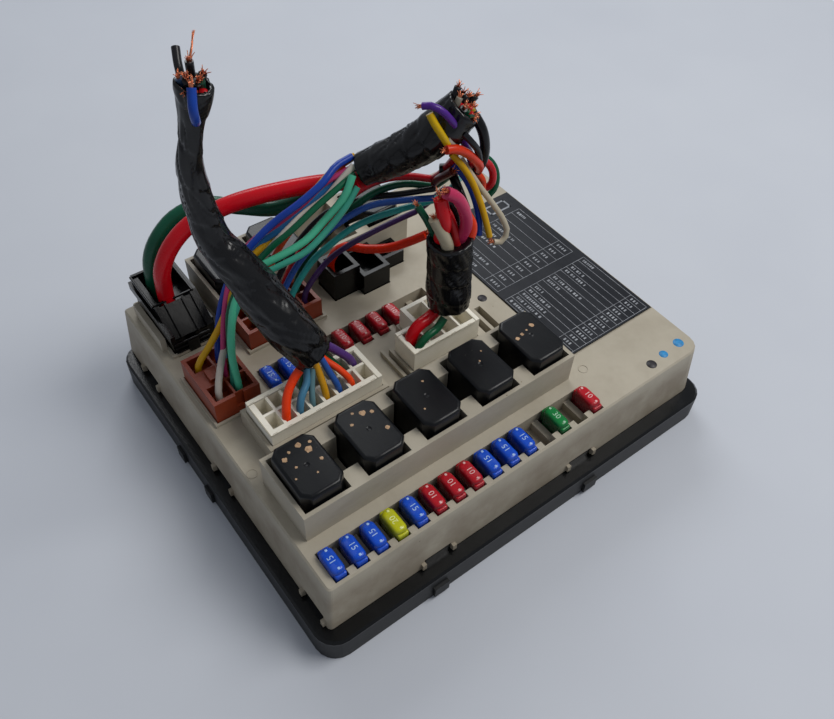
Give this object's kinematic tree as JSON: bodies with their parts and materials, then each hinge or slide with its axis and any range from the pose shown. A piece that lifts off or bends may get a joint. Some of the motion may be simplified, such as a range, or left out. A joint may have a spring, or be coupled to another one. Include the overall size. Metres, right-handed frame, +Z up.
{
  "type": "fuse box panel",
  "caption": "Vehicle fuse and relay panel: an ivory block clipped onto a black lower cover, with pull-out fuses and relays, plugged connectors and a cut taped harness.",
  "frame": {"origin": "bottom centre of the lower cover", "axes": "+Z up out of the plate that holds the fuses, X along the fuse rows, +Y from the front fuse row towards the rear relays"},
  "size_m": [0.1784, 0.1524, 0.1541],
  "materials": {
    "sheath_green": "soft wire insulation",
    "sheath_red": "soft wire insulation",
    "circuit_board": "solder mask over laminate",
    "black_connector": "black moulding",
    "brown_plastic": "reddish brown moulding",
    "white_plastic": "natural nylon",
    "fuse_blue": "translucent coloured plastic head",
    "fuse_yellow": "translucent coloured plastic head",
    "fuse_red": "translucent coloured plastic head",
    "fuse_green": "translucent coloured plastic head",
    "label_plate": "dark plate with pale engraved rows",
    "cover_plastic": "black, glossy ledge and duller skirt",
    "relay_plastic": "satin blue-black",
    "harness_tape": "wrinkled glossy black tape",
    "ivory_plastic": "fine matte moulding, dusty",
    "insulation_centre_orange": "soft wire insulation",
    "insulation_front_blue": "soft wire insulation",
    "insulation_front_mint": "soft wire insulation",
    "insulation_front_white": "soft wire insulation",
    "insulation_front_yellow": "soft wire insulation",
    "insulation_rear_green": "soft wire insulation",
    "insulation_rear_mint": "soft wire insulation",
    "insulation_rear_purple": "soft wire insulation",
    "insulation_rear_red": "soft wire insulation",
    "insulation_small_green": "soft wire insulation",
    "insulation_small_red": "soft wire insulation",
    "insulation_stub_pink": "soft wire insulation",
    "insulation_stub_red": "soft wire insulation",
    "insulation_white_lightblue": "soft wire insulation",
    "insulation_white_orange": "soft wire insulation",
    "insulation_white_purple": "soft wire insulation",
    "insulation_white_red": "soft wire insulation",
    "insulation_white_yellow": "soft wire insulation"
  },
  "bodies": {
    "panel": {"cable_green": "sheath_green", "cable_red": "sheath_red", "circuit_board": "circuit_board", "connector_black_centre": "black_connector", "connector_brown_front": "brown_plastic", "connector_brown_rear": "brown_plastic", "connector_power": "black_connector", "connector_white_large": "white_plastic", "label_plate": "label_plate", "lower_cover": "cover_plastic", "tape_trunk_left": "harness_tape", "tape_trunk_right": "harness_tape", "upper_housing": "ivory_plastic", "wire_centre_orange": "insulation_centre_orange", "wire_front_blue": "insulation_front_blue", "wire_front_mint": "insulation_front_mint", "wire_front_white": "insulation_front_white", "wire_front_yellow": "insulation_front_yellow", "wire_rear_green": "insulation_rear_green", "wire_rear_mint": "insulation_rear_mint", "wire_rear_purple": "insulation_rear_purple", "wire_rear_red": "insulation_rear_red", "wire_white_lightblue": "insulation_white_lightblue", "wire_white_orange": "insulation_white_orange", "wire_white_purple": "insulation_white_purple", "wire_white_red": "insulation_white_red", "wire_white_yellow": "insulation_white_yellow"},
    "fuse_front_01_blue": {"fuse_front_01_blue": "fuse_blue"},
    "fuse_front_02_blue": {"fuse_front_02_blue": "fuse_blue"},
    "fuse_front_03_blue": {"fuse_front_03_blue": "fuse_blue"},
    "fuse_front_04_yellow": {"fuse_front_04_yellow": "fuse_yellow"},
    "fuse_front_05_blue": {"fuse_front_05_blue": "fuse_blue"},
    "fuse_front_06_red": {"fuse_front_06_red": "fuse_red"},
    "fuse_front_07_red": {"fuse_front_07_red": "fuse_red"},
    "fuse_front_08_red": {"fuse_front_08_red": "fuse_red"},
    "fuse_front_09_blue": {"fuse_front_09_blue": "fuse_blue"},
    "fuse_front_10_blue": {"fuse_front_10_blue": "fuse_blue"},
    "fuse_front_11_blue": {"fuse_front_11_blue": "fuse_blue"},
    "fuse_front_13_green": {"fuse_front_13_green": "fuse_green"},
    "fuse_front_15_red": {"fuse_front_15_red": "fuse_red"},
    "fuse_middle_01_blue": {"fuse_middle_01_blue": "fuse_blue"},
    "fuse_middle_02_blue": {"fuse_middle_02_blue": "fuse_blue"},
    "fuse_middle_05_red": {"fuse_middle_05_red": "fuse_red"},
    "fuse_middle_06_red": {"fuse_middle_06_red": "fuse_red"},
    "fuse_middle_07_red": {"fuse_middle_07_red": "fuse_red"},
    "fuse_middle_08_red": {"fuse_middle_08_red": "fuse_red"},
    "relay_back_1": {"relay_back_1": "relay_plastic"},
    "relay_back_2": {"relay_back_2": "relay_plastic"},
    "relay_back_4": {"relay_back_4": "relay_plastic"},
    "relay_front_1": {"relay_front_1": "relay_plastic"},
    "relay_front_2": {"relay_front_2": "relay_plastic"},
    "relay_front_3": {"relay_front_3": "relay_plastic"},
    "relay_front_4": {"relay_front_4": "relay_plastic"},
    "relay_front_5": {"relay_front_5": "relay_plastic"},
    "small_connector": {"connector_white_small": "white_plastic", "tape_stub": "harness_tape", "wire_small_red": "insulation_small_red", "wire_small_green": "insulation_small_green", "wire_stub_red": "insulation_stub_red", "wire_stub_pink": "insulation_stub_pink"}
  },
  "joints": [
    {"name": "fuse_front_01_blue_pull", "type": "slide", "parent": "panel", "child": "fuse_front_01_blue", "axis": [0, 0, 1], "range_m": [0, 0.009]},
    {"name": "fuse_front_02_blue_pull", "type": "slide", "parent": "panel", "child": "fuse_front_02_blue", "axis": [0, 0, 1], "range_m": [0, 0.009]},
    {"name": "fuse_front_03_blue_pull", "type": "slide", "parent": "panel", "child": "fuse_front_03_blue", "axis": [0, 0, 1], "range_m": [0, 0.009]},
    {"name": "fuse_front_04_yellow_pull", "type": "slide", "parent": "panel", "child": "fuse_front_04_yellow", "axis": [0, 0, 1], "range_m": [0, 0.009]},
    {"name": "fuse_front_05_blue_pull", "type": "slide", "parent": "panel", "child": "fuse_front_05_blue", "axis": [0, 0, 1], "range_m": [0, 0.009]},
    {"name": "fuse_front_06_red_pull", "type": "slide", "parent": "panel", "child": "fuse_front_06_red", "axis": [0, 0, 1], "range_m": [0, 0.009]},
    {"name": "fuse_front_07_red_pull", "type": "slide", "parent": "panel", "child": "fuse_front_07_red", "axis": [0, 0, 1], "range_m": [0, 0.009]},
    {"name": "fuse_front_08_red_pull", "type": "slide", "parent": "panel", "child": "fuse_front_08_red", "axis": [0, 0, 1], "range_m": [0, 0.009]},
    {"name": "fuse_front_09_blue_pull", "type": "slide", "parent": "panel", "child": "fuse_front_09_blue", "axis": [0, 0, 1], "range_m": [0, 0.009]},
    {"name": "fuse_front_10_blue_pull", "type": "slide", "parent": "panel", "child": "fuse_front_10_blue", "axis": [0, 0, 1], "range_m": [0, 0.009]},
    {"name": "fuse_front_11_blue_pull", "type": "slide", "parent": "panel", "child": "fuse_front_11_blue", "axis": [0, 0, 1], "range_m": [0, 0.009]},
    {"name": "fuse_front_13_green_pull", "type": "slide", "parent": "panel", "child": "fuse_front_13_green", "axis": [0, 0, 1], "range_m": [0, 0.009]},
    {"name": "fuse_front_15_red_pull", "type": "slide", "parent": "panel", "child": "fuse_front_15_red", "axis": [0, 0, 1], "range_m": [0, 0.009]},
    {"name": "fuse_middle_01_blue_pull", "type": "slide", "parent": "panel", "child": "fuse_middle_01_blue", "axis": [0, 0, 1], "range_m": [0, 0.009]},
    {"name": "fuse_middle_02_blue_pull", "type": "slide", "parent": "panel", "child": "fuse_middle_02_blue", "axis": [0, 0, 1], "range_m": [0, 0.009]},
    {"name": "fuse_middle_05_red_pull", "type": "slide", "parent": "panel", "child": "fuse_middle_05_red", "axis": [0, 0, 1], "range_m": [0, 0.009]},
    {"name": "fuse_middle_06_red_pull", "type": "slide", "parent": "panel", "child": "fuse_middle_06_red", "axis": [0, 0, 1], "range_m": [0, 0.009]},
    {"name": "fuse_middle_07_red_pull", "type": "slide", "parent": "panel", "child": "fuse_middle_07_red", "axis": [0, 0, 1], "range_m": [0, 0.009]},
    {"name": "fuse_middle_08_red_pull", "type": "slide", "parent": "panel", "child": "fuse_middle_08_red", "axis": [0, 0, 1], "range_m": [0, 0.009]},
    {"name": "relay_back_1_pull", "type": "slide", "parent": "panel", "child": "relay_back_1", "axis": [0, 0, 1], "range_m": [0, 0.012]},
    {"name": "relay_back_2_pull", "type": "slide", "parent": "panel", "child": "relay_back_2", "axis": [0, 0, 1], "range_m": [0, 0.012]},
    {"name": "relay_back_4_pull", "type": "slide", "parent": "panel", "child": "relay_back_4", "axis": [0, 0, 1], "range_m": [0, 0.012]},
    {"name": "relay_front_1_pull", "type": "slide", "parent": "panel", "child": "relay_front_1", "axis": [0, 0, 1], "range_m": [0, 0.012]},
    {"name": "relay_front_2_pull", "type": "slide", "parent": "panel", "child": "relay_front_2", "axis": [0, 0, 1], "range_m": [0, 0.012]},
    {"name": "relay_front_3_pull", "type": "slide", "parent": "panel", "child": "relay_front_3", "axis": [0, 0, 1], "range_m": [0, 0.012]},
    {"name": "relay_front_4_pull", "type": "slide", "parent": "panel", "child": "relay_front_4", "axis": [0, 0, 1], "range_m": [0, 0.012]},
    {"name": "relay_front_5_pull", "type": "slide", "parent": "panel", "child": "relay_front_5", "axis": [0, 0, 1], "range_m": [0, 0.012]},
    {"name": "small_connector_pull", "type": "slide", "parent": "panel", "child": "small_connector", "axis": [0, 0, 1], "range_m": [0, 0.012]}
  ]
}
